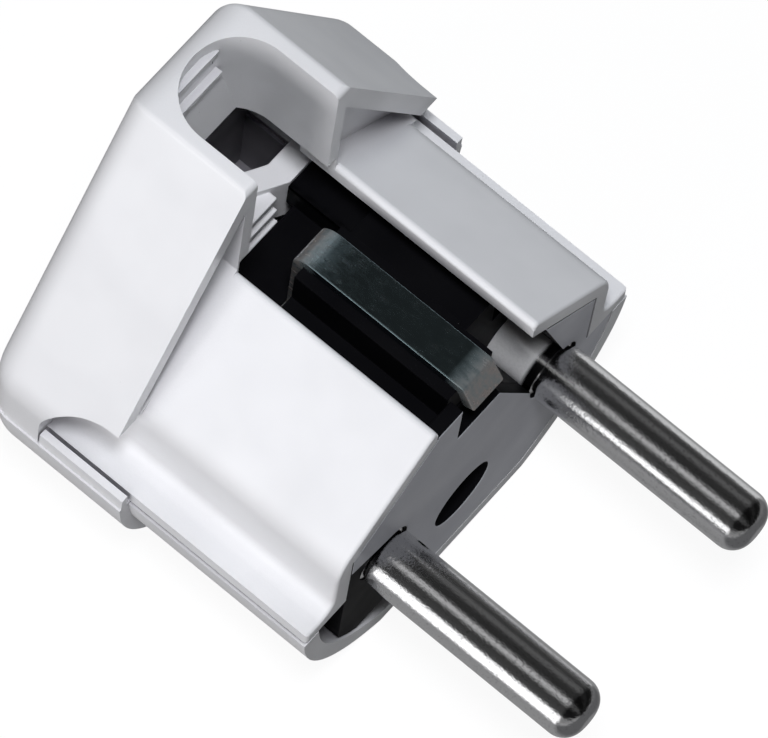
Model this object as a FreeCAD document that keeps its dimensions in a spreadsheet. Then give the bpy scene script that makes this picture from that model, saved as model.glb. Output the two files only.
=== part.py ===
"""Angled earthed plug for rewiring: two round pins, side earth strips and a cable exit on top.

Frame: X runs across the two pins, Y runs from the pin face back into the hood, and Z points up
towards the cable exit. The origin is the middle of the pin face. Lengths are in millimetres.
"""
import FreeCAD
import Part
import os
import re
import Sketcher

SIZES = (
    ("pin_diameter", 4.8, "shank of each pin"),
    ("pin_spacing", 19.0, "centre distance of the two pins"),
    ("pin_length", 19.0, "pin from the face to the tip"),
    ("pin_tip_radius", 1.7, "rounding of the pin tip"),
    ("ring_width", 0.5, "ring groove turned at the face"),
    ("ring_depth", 0.3, "depth of the ring groove"),
    ("barrel_diameter", 6.4, "terminal barrel behind the carrier"),
    ("barrel_length", 6.4, "terminal barrel along the pin"),
    ("wire_hole_diameter", 3.4, "conductor hole in the barrel"),
    ("wire_hole_depth", 5.0, "conductor hole from the back of the barrel"),
    ("terminal_screw_diameter", 2.6, "shank of the terminal screws"),
    ("terminal_screw_length", 2.5, "shank of the terminal screws below the head"),
    ("terminal_head_diameter", 4.6, "head of the terminal screws"),
    ("wall", 1.6, "moulded shell wall"),
    ("fit_gap", 0.15, "clearance of the inserts in the shells"),
    ("bore_gap", 0.05, "clearance round a pin or a screw in its bore"),
    ("slot_width", 10.5, "slot between the two lobes, over the earth strip"),
    ("corner_height", 16.2, "top of the lobes beside the slot"),
    ("facet_slope", 0.92, "fall of the lobe facets for each unit of width"),
    ("side_half_width", 15.2, "half the width over the lobe sides"),
    ("shoulder_radius", 4.5, "rounding from the facets into the sides"),
    ("slot_edge_radius", 0.4, "rounding of the lobe edges along the slot"),
    ("front_edge_radius", 0.3, "rounding of the front edges of the shells"),
    ("flange_step", 0.2, "edge of the side flanges inside the round body"),
    ("flange_thickness", 1.3, "side flange of the upper shell"),
    ("flange_hollow_share", 0.55, "hollow rounding as a share of the flange's reach"),
    ("parting_drop", 1.2, "joint of the two shells below the pin axes"),
    ("body_radius", 18.2, "round lower body that enters the socket"),
    ("base_depth", 16.3, "flat base below the pin axes"),
    ("body_length", 18.4, "pin face to the front of the hood"),
    ("hood_depth", 11.2, "hood from front to back"),
    ("hood_height", 29.6, "top of the cable exit above the pin axes"),
    ("hood_overhang", 0.8, "hood sides outside the round body"),
    ("flank_foot_height", 4.4, "lower end of the sloping flanks"),
    ("flank_radius", 6.0, "rounding from the flanks into the hood sides"),
    ("back_radius", 2.5, "rounding of the back edges of the hood"),
    ("chimney_width", 10.8, "top of the hood outside the cable channel"),
    ("chimney_edge_radius", 0.6, "rounding of the top edges"),
    ("channel_width", 8.6, "cable channel"),
    ("channel_run", 5.3, "straight run of the channel before its round end"),
    ("skirt_height", 17.5, "lower edge of the channel wall"),
    ("grip_wall_reach", 1.8, "lean of the flat grip wall into the channel at its lower edge"),
    ("grip_wall_drop", 1.2, "top of the grip wall below the top of the hood"),
    ("grip_rib_depth", 0.5, "ribs on the grip wall"),
    ("grip_rib_height", 0.6, "ribs on the grip wall"),
    ("grip_rib_start", 1.1, "first rib below the top of the grip wall"),
    ("grip_rib_pitch", 2.9, "distance from rib to rib"),
    ("lip_recess", 1.5, "hollow under the front lip of the hood"),
    ("back_wall", 1.8, "back wall of the hood"),
    ("recess_height", 7.0, "top of the finger recesses"),
    ("recess_length", 6.0, "finger recess from the hood front"),
    ("recess_end_radius", 5.5, "round back end of the finger recess"),
    ("joint_gap", 0.35, "shadow gap under the side flanges"),
    ("rim_step", 0.2, "rim of the lower shell outside the hood sides"),
    ("rim_start", 16.5, "front end of that rim"),
    ("rim_strip_top", 0.4, "strips on the rim beside the flanges, above the pin axes"),
    ("rim_strip_gap", 0.4, "gap between those strips and the flanges"),
    ("plate_thickness", 1.2, "front plate"),
    ("plate_top", 14.3, "top edge of the front plate in the slot"),
    ("notch_width", 4.7, "notch in the plate for the strip tip"),
    ("notch_floor", 9.0, "bottom of that notch"),
    ("gate_half_width", 6.9, "outer edge of the gap from the slot to the right pin"),
    ("gate_drop", 0.9, "lower end of that edge below the pin axis"),
    ("gate_shift", 1.9, "lower end of that edge outside the pin axis"),
    ("side_gate_height", 5.0, "top of the open side at the left pin"),
    ("pocket_depth", 4.5, "face to the dark carrier behind the openings"),
    ("carrier_flange", 2.0, "flange of the carrier"),
    ("carrier_half_width", 11.6, "half the width of the carrier block"),
    ("carrier_top", 6.2, "top of the carrier block"),
    ("carrier_bottom", 11.0, "carrier block below the pin axes"),
    ("carrier_depth", 10.0, "pin face to the back of the carrier block"),
    ("core_half_width", 5.6, "half the width of the carrier core between the barrels"),
    ("core_depth", 15.4, "pin face to the back of the carrier core"),
    ("spine_width", 5.2, "carrier spine under the earth strips"),
    ("saddle_top", 11.0, "carrier saddle that closes the slot beside the strip"),
    ("saddle_half_width", 7.2, "half the width of that saddle"),
    ("strip_height", 15.6, "earth strips from the pin axes"),
    ("strip_thickness", 1.0, "earth bow sheet"),
    ("strip_width", 3.3, "earth bow sheet"),
    ("strip_bend", 1.6, "corner of the bow at the back"),
    ("tip_start", 0.8, "bend of the strip tip behind the face"),
    ("tip_reach", 0.45, "strip tip in front of the face"),
    ("tip_drop", 2.0, "strip tip below the strip"),
    ("eye_diameter", 8.4, "eyes of the bow at its two screws"),
    ("screw_drop", 6.4, "housing screw below the pin axes"),
    ("screw_hole_diameter", 5.9, "screw hole in the face"),
    ("screw_seat", 9.0, "face to the seat of the housing screw"),
    ("screw_diameter", 3.4, "shank of the housing screw"),
    ("screw_length", 14.0, "shank of the housing screw"),
    ("screw_head_diameter", 5.4, "head of the housing screw"),
    ("screw_head_height", 2.2, "head of the housing screw"),
    ("boss_diameter", 7.2, "boss for the housing screw"),
    ("earth_screw_height", 2.6, "earth terminal above the pin axes"),
    ("earth_screw_diameter", 3.4, "shank of the earth terminal screw"),
    ("earth_screw_length", 7.0, "shank of the earth terminal screw"),
    ("earth_head_diameter", 5.8, "head of the earth terminal screw"),
    ("washer_width", 7.0, "square washer of the earth terminal"),
    ("washer_thickness", 1.2, "square washer of the earth terminal"),
    ("clamp_gap", 0.1, "cable clamp behind the front wall of the hood"),
    ("clamp_thickness", 2.1, "cable clamp bar"),
    ("clamp_half_length", 13.3, "half the length of the cable clamp"),
    ("clamp_height", 6.0, "middle of the cable clamp above the pin axes"),
    ("clamp_width", 6.0, "cable clamp bar from edge to edge"),
    ("clamp_bulge", 1.8, "push of the clamp into the cable"),
    ("clamp_bulge_half_width", 4.8, "half the width of that push at its foot"),
    ("clamp_nose_half_width", 1.6, "half the width of that push at its nose"),
    ("clamp_screw_spacing", 19.2, "distance of the two clamp screws"),
    ("clamp_screw_diameter", 3.0, "shank of the clamp screws"),
    ("clamp_screw_length", 5.2, "shank of the clamp screws"),
    ("clamp_head_diameter", 5.4, "head of the clamp screws"),
    ("post_width", 5.0, "posts behind the cable clamp"),
    ("small_head_height", 1.9, "heads of the clamp and terminal screws"),
    ("drive_width", 0.8, "driver slot of the screws"),
    ("drive_depth", 0.9, "driver slot of the screws"),
)

START, END, CENTRE = range(1, 4)
X_AXIS, Y_AXIS = range(-1, -3, -1)
TOLERANCE = 1e-4
PLANE_SIGN = {"XY": 1, "XZ": -1, "YZ": 1}
FUNCTIONS = ("sqrt", "abs", "max")

doc = FreeCAD.newDocument("angled_plug")
sheet = doc.addObject("Spreadsheet::Sheet", "Sizes")
for row, (alias, value, meaning) in enumerate(SIZES, start=1):
    sheet.set(f"A{row}", meaning)
    sheet.set(f"B{row}", str(value))
    sheet.setAlias(f"B{row}", alias)
doc.recompute()

# Places worked out from the driving sizes
PIN_X = "(pin_spacing / 2)"
PIN_RADIUS = "(pin_diameter / 2)"
SLOT = "(slot_width / 2)"
PARTING = "(-parting_drop)"
CUT_MARGIN = "wall"
FACET_LENGTH = "sqrt(1 + facet_slope ^ 2)"
FACET_INNER = f"(corner_height - wall * {FACET_LENGTH})"
SIDE_TOP = f"(corner_height - facet_slope * (side_half_width - {SLOT}))"
SIDE_INNER = "(side_half_width - wall)"
SIDE_INNER_TOP = f"({SIDE_TOP} + facet_slope * wall - wall * {FACET_LENGTH})"
FLANGE_TOP = "(flange_thickness - parting_drop)"
FLANGE = "(body_radius - flange_step)"
FLANGE_HOLLOW = f"(flange_hollow_share * ({FLANGE} - side_half_width))"
HOOD = "(body_radius + hood_overhang)"
CHIMNEY = "(chimney_width / 2)"
FLANK_SLOPE = f"((hood_height - flank_foot_height) / ({HOOD} - {CHIMNEY}))"
FLANK_DROP = f"(wall * sqrt(1 + {FLANK_SLOPE} ^ 2))"
HOOD_BACK = "(body_length + hood_depth)"
HOOD_INNER_FRONT = "(body_length + lip_recess + wall)"
HOOD_INNER_BACK = f"({HOOD_BACK} - back_wall)"
CHANNEL = "(channel_width / 2)"
CHANNEL_CENTRE = "(body_length + channel_run)"
BASE_INNER = "(base_depth - wall)"
BODY_INNER_RADIUS = "(body_radius - wall)"
RIM_RADIUS = f"({HOOD} + rim_step)"
PIN_OPENING = "(pin_diameter / 2 + fit_gap)"
NOTCH = "(notch_width / 2)"
BARREL_END = "(carrier_depth + barrel_length)"
BOW_BACK = "(core_depth + strip_thickness)"
STRIP_SEAT = "(strip_height - strip_thickness)"
TIP_BEND = "(tip_start + strip_thickness / 2)"
CLAMP_START = f"({HOOD_INNER_FRONT} + clamp_gap)"
CLAMP_BACK = f"({CLAMP_START} + clamp_thickness)"
CLAMP_SCREW_X = "(clamp_screw_spacing / 2)"


def bound(text):
    """Point every size named in an expression at its cell."""
    return re.sub(r"[a-z][a-z_]*", lambda word: qualified(word.group()), text)


def qualified(word):
    """A size's full name, or a function's own name."""
    return word if word in FUNCTIONS else "Sizes." + word


def number(text):
    """The value of an expression."""
    return float(sheet.evalExpression(bound(text)))


def flank_inner(place):
    """Height of the inner flank surface of the hood at a distance from the middle."""
    return f"(hood_height - {FLANK_SLOPE} * ({place} - {CHIMNEY}) - {FLANK_DROP})"


def new_body(label):
    """A sub-part that keeps its label as its node name."""
    body = doc.addObject("PartDesign::Body", label)
    body.Label = label
    return body


def move(body, x="0", y="0", z="0"):
    """Bind a sub-part's place to the sizes."""
    for axis, place in zip("xyz", (x, y, z)):
        body.setExpression(f"Placement.Base.{axis}", bound(place))


def hold_point(sketch, edge, position, x, y):
    """Fix one sketch point at two expressions."""
    for kind, axis, place in (("DistanceX", Y_AXIS, x), ("DistanceY", X_AXIS, y)):
        value = number(place)
        if abs(value) < TOLERANCE:
            sketch.addConstraint(Sketcher.Constraint("PointOnObject", edge, position, axis))
            continue
        index = sketch.addConstraint(Sketcher.Constraint(kind, X_AXIS, START, edge, position, value))
        sketch.setExpression(f"Constraints[{index}]", bound(place))


def hold_radius(sketch, edge, radius):
    """Fix a circle's or an arc's radius at an expression."""
    index = sketch.addConstraint(Sketcher.Constraint("Radius", edge, number(radius)))
    sketch.setExpression(f"Constraints[{index}]", bound(radius))


def arc_between(first, second, radius, leftward):
    """The short arc from one corner to the next, turning left or right."""
    chord = second - first
    normal = FreeCAD.Vector(-chord.y, chord.x, 0).normalize()
    side = 1 if leftward else -1
    reach = max(radius ** 2 - (chord.Length / 2) ** 2, 0) ** 0.5
    centre = (first + second) * 0.5 + normal * (side * reach)
    circle = Part.Circle(centre, FreeCAD.Vector(0, 0, 1), radius)
    ends = (first, second) if leftward else (second, first)
    return Part.ArcOfCircle(circle, circle.parameter(ends[0]), circle.parameter(ends[1]))


def add_outline(sketch, corners):
    """Draw a closed outline; a corner's third value is the radius of an arc to the next corner."""
    points = [FreeCAD.Vector(number(corner[0]), number(corner[1]), 0) for corner in corners]
    edges = []
    for index, corner in enumerate(corners):
        first, second = points[index], points[(index + 1) % len(points)]
        if len(corner) == 2:
            edge = sketch.addGeometry(Part.LineSegment(first, second), False)
            edges.append((edge, START, END))
            continue
        leftward = not corner[2].startswith("-")
        radius = corner[2].lstrip("-")
        edge = sketch.addGeometry(arc_between(first, second, number(radius), leftward), False)
        hold_radius(sketch, edge, radius)
        edges.append((edge, START, END) if leftward else (edge, END, START))
    for index, corner in enumerate(corners):
        edge, start, _ = edges[index]
        before, _, finish = edges[index - 1]
        sketch.addConstraint(Sketcher.Constraint("Coincident", before, finish, edge, start))
        hold_point(sketch, edge, start, corner[0], corner[1])


def add_circle(sketch, x, y, radius):
    """Draw a circle."""
    circle = Part.Circle(FreeCAD.Vector(number(x), number(y), 0), FreeCAD.Vector(0, 0, 1), number(radius))
    edge = sketch.addGeometry(circle, False)
    hold_radius(sketch, edge, radius)
    hold_point(sketch, edge, CENTRE, x, y)


def new_sketch(body, name, plane, level):
    """An empty sketch parallel to one of the body's own planes."""
    sketch = body.newObject("Sketcher::SketchObject", name)
    support = next(item for item in body.Origin.OriginFeatures if item.Role == plane + "_Plane")
    sketch.AttachmentSupport = [(support, "")]
    sketch.MapMode = "FlatFace"
    lift = level if PLANE_SIGN[plane] > 0 else f"-({level})"
    sketch.setExpression("AttachmentOffset.Base.z", bound(lift))
    return sketch


def extrude(body, kind, name, plane, shapes, start, end):
    """Pad or pocket outlines (lists of corners) and circles (x, y, radius) from one level to another."""
    sketch = new_sketch(body, name + "_sketch", plane, start)
    for shape in shapes:
        if isinstance(shape, tuple):
            add_circle(sketch, *shape)
        else:
            add_outline(sketch, shape)
    feature = body.newObject("PartDesign::" + kind, name)
    feature.Profile = sketch
    feature.setExpression("Length", bound(f"abs(({end}) - ({start}))"))
    along_normal = (number(end) > number(start)) == (PLANE_SIGN[plane] > 0)
    feature.Reversed = along_normal if kind == "Pocket" else not along_normal
    return feature


def pad(body, name, plane, shapes, start, end):
    """Add material."""
    return extrude(body, "Pad", name, plane, shapes, start, end)


def pocket(body, name, plane, shapes, start, end):
    """Take material away, and make sure that some went."""
    doc.recompute()
    before = body.Shape.Volume
    feature = extrude(body, "Pocket", name, plane, shapes, start, end)
    doc.recompute()
    if body.Shape.Volume > before - TOLERANCE:
        raise ValueError(f"{body.Label}: {name} cuts nothing")
    return feature


def turn(body, name, corners):
    """Revolve a half outline, given as radius and distance along Y, about the Y axis."""
    sketch = new_sketch(body, name + "_sketch", "XY", "0")
    add_outline(sketch, corners)
    feature = body.newObject("PartDesign::Revolution", name)
    feature.Profile = sketch
    feature.ReferenceAxis = (sketch, ["V_Axis"])
    feature.Angle = 360
    return feature


def lies_at(edge, x, y, z):
    """Whether every end of an edge lies at the given places; X is compared without its sign."""
    wanted = [place if place is None else number(place) for place in (x, y, z)]
    for vertex in edge.Vertexes:
        found = (abs(vertex.X), vertex.Y, vertex.Z)
        for here, there in zip(found, wanted):
            if there is not None and abs(here - there) > TOLERANCE:
                return False
    return True


def rises_over(edge, level):
    """Whether some end of an edge lies above a level."""
    return level is None or any(vertex.Z > number(level) + TOLERANCE for vertex in edge.Vertexes)


def fillet(body, name, radius, x=None, y=None, z=None, over=None):
    """Round the edges whose ends all lie at the given places, and not all at or below a level."""
    doc.recompute()
    base = body.Tip
    edges = []
    for index, edge in enumerate(base.Shape.Edges, start=1):
        if lies_at(edge, x, y, z) and rises_over(edge, over):
            edges.append(f"Edge{index}")
    if not edges:
        raise ValueError(f"{body.Label}: {name} finds no edge")
    feature = body.newObject("PartDesign::Fillet", name)
    feature.Base = (base, edges)
    feature.setExpression("Radius", bound(radius))
    doc.recompute()
    if "Invalid" in feature.State:
        raise ValueError(f"{body.Label}: {name} can't be rounded")
    return feature


def mirrored(corners):
    """An outline turned over to the other side of the middle, with its direction kept."""
    return [(f"-({corner[0]})", corner[1]) for corner in reversed(corners)]


def lower_outline(radius, flat):
    """Corners of a round lower half with a flat base, from the left end to the right end of its arc."""
    run = f"sqrt({radius} ^ 2 - {flat} ^ 2)"
    return [(f"-{run}", f"-{flat}"), (run, f"-{flat}", radius)]


def symmetric(chain):
    """A closed outline from its right half, given from the bottom to the top; arcs are kept."""
    left = []
    for index in reversed(range(len(chain))):
        arc = chain[index - 1][2:] if index else ()
        left.append((f"-({chain[index][0]})", chain[index][1], *arc))
    return list(chain) + left


def lobe_chain():
    """Right half of the lobe section: flange, hollow, side, rounded shoulder, facet and slot edge."""
    run = f"(shoulder_radius * ({FACET_LENGTH} - facet_slope))"
    edge = f"(slot_edge_radius * ({FACET_LENGTH} + facet_slope))"
    fall = "facet_slope"
    shoulder = (f"side_half_width - {run} / {FACET_LENGTH}", f"{SIDE_TOP} + {fall} * {run} / {FACET_LENGTH}")
    ridge = (f"{SLOT} + {edge} / {FACET_LENGTH}", f"corner_height - {fall} * {edge} / {FACET_LENGTH}")
    return [
        (FLANGE, PARTING),
        (FLANGE, FLANGE_TOP),
        (f"side_half_width + {FLANGE_HOLLOW}", FLANGE_TOP, f"-{FLANGE_HOLLOW}"),
        ("side_half_width", f"{FLANGE_TOP} + {FLANGE_HOLLOW}"),
        ("side_half_width", f"{SIDE_TOP} - {run}", "shoulder_radius"),
        shoulder,
        (*ridge, "slot_edge_radius"),
        (SLOT, f"corner_height - {edge}"),
    ]


def make_upper_housing():
    """White upper shell: two lobes, a hood, a cable channel and finger recesses."""
    body = new_body("upper_housing")
    hood = symmetric([
        (HOOD, PARTING), (HOOD, "flank_foot_height"), (CHIMNEY, "hood_height"),
    ])
    pad(body, "hood", "XZ", [hood], "body_length", HOOD_BACK)
    fillet(body, "flank_feet", "flank_radius", x=HOOD, z="flank_foot_height")
    fillet(body, "back_edges", "back_radius", y=HOOD_BACK, over=PARTING)
    fillet(body, "chimney_edges", "chimney_edge_radius", x=CHIMNEY, z="hood_height")
    scoop_sides(body)
    pad(body, "lobes", "XZ", [symmetric(lobe_chain())], "0", HOOD_INNER_BACK)
    fillet(body, "front_edges", "front_edge_radius", y="0", over=PARTING)
    hollow_lobes(body)
    hollow_hood(body)
    cut_channel(body)
    cut_lip(body)
    return body


def hollow_lobes(body):
    """Open the lobes from the front and from below, with the slot between them."""
    inside = [
        (f"-{SIDE_INNER}", f"{PARTING} - {CUT_MARGIN}"), (SIDE_INNER, f"{PARTING} - {CUT_MARGIN}"),
        (SIDE_INNER, SIDE_INNER_TOP), (SLOT, FACET_INNER),
        (f"-{SLOT}", FACET_INNER), (f"-{SIDE_INNER}", SIDE_INNER_TOP),
    ]
    pocket(body, "lobe_hollow", "XZ", [inside], f"-{CUT_MARGIN}", HOOD_INNER_BACK)
    slot = [
        (f"-{SLOT}", f"-{CUT_MARGIN}"), (SLOT, f"-{CUT_MARGIN}"),
        (SLOT, f"{HOOD_INNER_FRONT} + {CUT_MARGIN}"), (f"-{SLOT}", f"{HOOD_INNER_FRONT} + {CUT_MARGIN}"),
    ]
    pocket(body, "slot", "XY", [slot], f"{FACET_INNER} - {CUT_MARGIN}", "skirt_height")


def hollow_hood(body):
    """Open the hood from below and hang the channel wall in it."""
    inside = symmetric([
        (SIDE_INNER, f"{PARTING} - {CUT_MARGIN}"), (SIDE_INNER, flank_inner(SIDE_INNER)),
        (CHIMNEY, flank_inner(CHIMNEY)),
    ])
    pocket(body, "hood_hollow", "XZ", [inside], HOOD_INNER_FRONT, HOOD_INNER_BACK)
    front = "(body_length + lip_recess)"
    skirt = [
        (f"-{CHIMNEY}", front), (CHIMNEY, front),
        (CHIMNEY, CHANNEL_CENTRE, CHIMNEY), ("0", f"{CHANNEL_CENTRE} + {CHIMNEY}", CHIMNEY),
        (f"-{CHIMNEY}", CHANNEL_CENTRE),
    ]
    pad(body, "channel_skirt", "XY", [skirt], "skirt_height", f"{flank_inner(CHIMNEY)} + wall")


def cut_channel(body):
    """Cut the cable channel through the top and lean a ribbed grip wall into its round end."""
    front = f"(body_length - {CUT_MARGIN})"
    channel = [
        (f"-{CHANNEL}", front), (CHANNEL, front),
        (CHANNEL, CHANNEL_CENTRE, CHANNEL), ("0", f"{CHANNEL_CENTRE} + {CHANNEL}", CHANNEL),
        (f"-{CHANNEL}", CHANNEL_CENTRE),
    ]
    pocket(body, "channel", "XY", [channel], f"hood_height + {CUT_MARGIN}", FACET_INNER)
    back = f"({CHANNEL_CENTRE} + {CHANNEL})"
    top = "(hood_height - grip_wall_drop)"
    lean = f"(grip_wall_reach / ({top} - skirt_height))"
    half = f"({CHANNEL} + fit_gap)"
    wall = [
        (f"{back} - grip_wall_reach", "skirt_height"), (f"{back} + fit_gap", "skirt_height"),
        (f"{back} + fit_gap", top), (back, top),
    ]
    pad(body, "grip_wall", "YZ", [wall], f"-{half}", half)
    ribs = []
    for count in range(2):
        level = f"({top} - grip_rib_start - {count} * grip_rib_pitch)"
        face = f"({back} - {lean} * ({top} - {level}))"
        ribs.append([
            (f"{face} - grip_rib_depth", level), (f"{face} + grip_rib_depth", level),
            (f"{face} + grip_rib_depth", f"{level} + grip_rib_height"),
            (f"{face} - grip_rib_depth", f"{level} + grip_rib_height"),
        ])
    pad(body, "grip_ribs", "YZ", ribs, f"-{CHANNEL} / 2", f"{CHANNEL} / 2")


def cut_lip(body):
    """Hollow the hood front under its lip."""
    flank_start = f"(hood_height + {FLANK_SLOPE} * {CHIMNEY} - {FLANK_DROP})"
    facet_start = f"(corner_height + facet_slope * {SLOT})"
    meet = f"(({flank_start} - {facet_start}) / ({FLANK_SLOPE} - facet_slope))"
    hollow = [
        (CHIMNEY, f"{facet_start} - facet_slope * {CHIMNEY}"),
        (meet, f"{facet_start} - facet_slope * {meet}"),
        (CHIMNEY, flank_inner(CHIMNEY)),
    ]
    front = "body_length"
    pocket(body, "lip_hollow", "XZ", [hollow, mirrored(hollow)], front, f"{front} + lip_recess")


def scoop_sides(body):
    """Scoop a finger recess into each side of the hood, down to the lobe sides and their flanges."""
    end = "(body_length + recess_length)"
    recess = [
        ("body_length", f"{PARTING} - {CUT_MARGIN}"), (end, f"{PARTING} - {CUT_MARGIN}"),
        (end, "recess_height - recess_end_radius", "recess_end_radius"),
        (f"{end} - recess_end_radius", "recess_height"), ("body_length", "recess_height"),
    ]
    outside = f"({HOOD} + {CUT_MARGIN})"
    pocket(body, "right_recess", "YZ", [recess], SIDE_INNER, outside)
    pocket(body, "left_recess", "YZ", [recess], f"-{SIDE_INNER}", f"-{outside}")


def make_lower_housing():
    """White lower shell: round body, flat base, hood rim, screw boss and clamp posts."""
    body = new_body("lower_housing")
    pad(body, "round_body", "XZ", [("0", "0", "body_radius")], "0", "body_length")
    pad(body, "hood_rim", "XZ", [("0", "0", RIM_RADIUS)], "rim_start", HOOD_BACK)
    fillet(body, "back_edge", "back_radius", y=HOOD_BACK)
    wide = f"({RIM_RADIUS} + {CUT_MARGIN})"
    whole = [
        (f"-{wide}", f"-{CUT_MARGIN}"), (wide, f"-{CUT_MARGIN}"),
        (wide, f"{HOOD_BACK} + {CUT_MARGIN}"), (f"-{wide}", f"{HOOD_BACK} + {CUT_MARGIN}"),
    ]
    pocket(body, "parting_cut", "XY", [whole], PARTING, wide)
    pocket(body, "base_cut", "XY", [whole], "-base_depth", f"-{wide}")
    inside = lower_outline(BODY_INNER_RADIUS, BASE_INNER)
    inside += [(BODY_INNER_RADIUS, "0"), (f"-{BODY_INNER_RADIUS}", "0", BODY_INNER_RADIUS)]
    pocket(body, "body_hollow", "XZ", [inside], f"-{CUT_MARGIN}", "rim_start")
    pocket(body, "hood_hollow", "XZ", [("0", "0", "side_half_width")], "rim_start", HOOD_INNER_BACK)
    slot_end = f"({BOW_BACK} + fit_gap)"
    slot = [(f"-{SLOT}", "wall"), (SLOT, "wall"), (SLOT, slot_end), (f"-{SLOT}", slot_end)]
    pocket(body, "base_slot", "XY", [slot], f"-base_depth - {CUT_MARGIN}", f"-{BASE_INNER} + {CUT_MARGIN}")
    joint = [
        ("side_half_width", f"-{CUT_MARGIN}"), (wide, f"-{CUT_MARGIN}"),
        (wide, "rim_start"), ("side_half_width", "rim_start"),
    ]
    pocket(body, "shadow_gaps", "XY", [joint, mirrored(joint)], PARTING, f"{PARTING} - joint_gap")
    strip_end = "(body_length + recess_length - fit_gap)"
    strip = [
        (f"{FLANGE} + rim_strip_gap", "rim_start"), (HOOD, "rim_start"),
        (HOOD, strip_end), (f"{FLANGE} + rim_strip_gap", strip_end),
    ]
    pad(body, "rim_strips", "XY", [strip, mirrored(strip)], PARTING, "rim_strip_top")
    pad(body, "screw_boss", "XZ", [("0", "-screw_drop", "boss_diameter / 2")], BOW_BACK, HOOD_INNER_BACK)
    bore = ("0", "-screw_drop", "screw_diameter / 2 + bore_gap")
    pocket(body, "boss_bore", "XZ", [bore], BOW_BACK, "screw_seat + screw_length + wall")
    post_top = "(clamp_height + clamp_width / 2)"
    post_back = f"({HOOD_INNER_BACK} - fit_gap)"
    post = [
        (f"{CLAMP_SCREW_X} - post_width / 2", CLAMP_BACK), (f"{CLAMP_SCREW_X} + post_width / 2", CLAMP_BACK),
        (f"{CLAMP_SCREW_X} + post_width / 2", post_back), (f"{CLAMP_SCREW_X} - post_width / 2", post_back),
    ]
    pad(body, "clamp_posts", "XY", [post, mirrored(post)], f"-{BASE_INNER}", post_top)
    radius = "clamp_screw_diameter / 2 + bore_gap"
    holes = [(CLAMP_SCREW_X, "clamp_height", radius), (f"-{CLAMP_SCREW_X}", "clamp_height", radius)]
    pocket(body, "post_bores", "XZ", holes, CLAMP_BACK, post_back)
    return body


def insert_outline(top):
    """Outline of an insert that fills both shells up to the lobe sides, closed by the given top corners."""
    radius = f"({BODY_INNER_RADIUS} - fit_gap)"
    reach = f"sqrt({radius} ^ 2 - parting_drop ^ 2)"
    side = f"({SIDE_INNER} - fit_gap)"
    outline = lower_outline(radius, f"({BASE_INNER} - fit_gap)")
    outline += [(reach, PARTING), (side, PARTING)]
    outline += top
    outline += [(f"-{side}", PARTING), (f"-{reach}", PARTING, radius)]
    return outline


def gate_outlines():
    """Gaps that leave the dark carrier in view: from the slot to the right pin and beside the left pin."""
    above = f"(plate_top + {CUT_MARGIN})"
    right = [
        (NOTCH, above), (NOTCH, "notch_floor"),
        (f"{PIN_X} - {PIN_RADIUS}", "0"), (PIN_X, "0"),
        (f"{PIN_X} + gate_shift", "-gate_drop"),
        ("gate_half_width", f"{FACET_INNER} - facet_slope * (gate_half_width - {SLOT})"),
        ("gate_half_width", above),
    ]
    left = [
        ("-body_radius", "-body_radius"), (f"{PIN_OPENING} - {PIN_X}", "-body_radius"),
        (f"{PIN_OPENING} - {PIN_X}", "0"), (f"-{PIN_X}", PIN_OPENING),
        ("-body_radius", "side_gate_height"),
    ]
    return [right, left]


def make_front_plate():
    """White front plate with the strip notch, the pin openings and the screw hole."""
    body = new_body("front_plate")
    side = f"({SIDE_INNER} - fit_gap)"
    shoulder = f"({SLOT} - fit_gap)"
    edge = f"({FACET_INNER} - fit_gap * {FACET_LENGTH})"
    side_top = f"({SIDE_INNER_TOP} - fit_gap * ({FACET_LENGTH} - facet_slope))"
    top = [
        (side, side_top), (shoulder, edge), (shoulder, "plate_top"),
        (f"-{shoulder}", "plate_top"), (f"-{shoulder}", edge), (f"-{side}", side_top),
    ]
    pad(body, "plate", "XZ", [insert_outline(top)], "0", "plate_thickness")
    notch = [
        (f"-{NOTCH}", "notch_floor"), (NOTCH, "notch_floor"),
        (NOTCH, f"plate_top + {CUT_MARGIN}"), (f"-{NOTCH}", f"plate_top + {CUT_MARGIN}"),
    ]
    pocket(body, "strip_notch", "XZ", [notch], "0", "plate_thickness")
    for name, gate in zip(("right_gate", "left_gate"), gate_outlines()):
        pocket(body, name, "XZ", [gate], "0", "plate_thickness")
    openings = [(PIN_X, "0", PIN_OPENING), (f"-{PIN_X}", "0", PIN_OPENING)]
    pocket(body, "pin_openings", "XZ", openings, "0", "plate_thickness")
    hole = ("0", "-screw_drop", "screw_hole_diameter / 2")
    pocket(body, "screw_hole", "XZ", [hole], "0", "plate_thickness")
    return body


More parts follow.
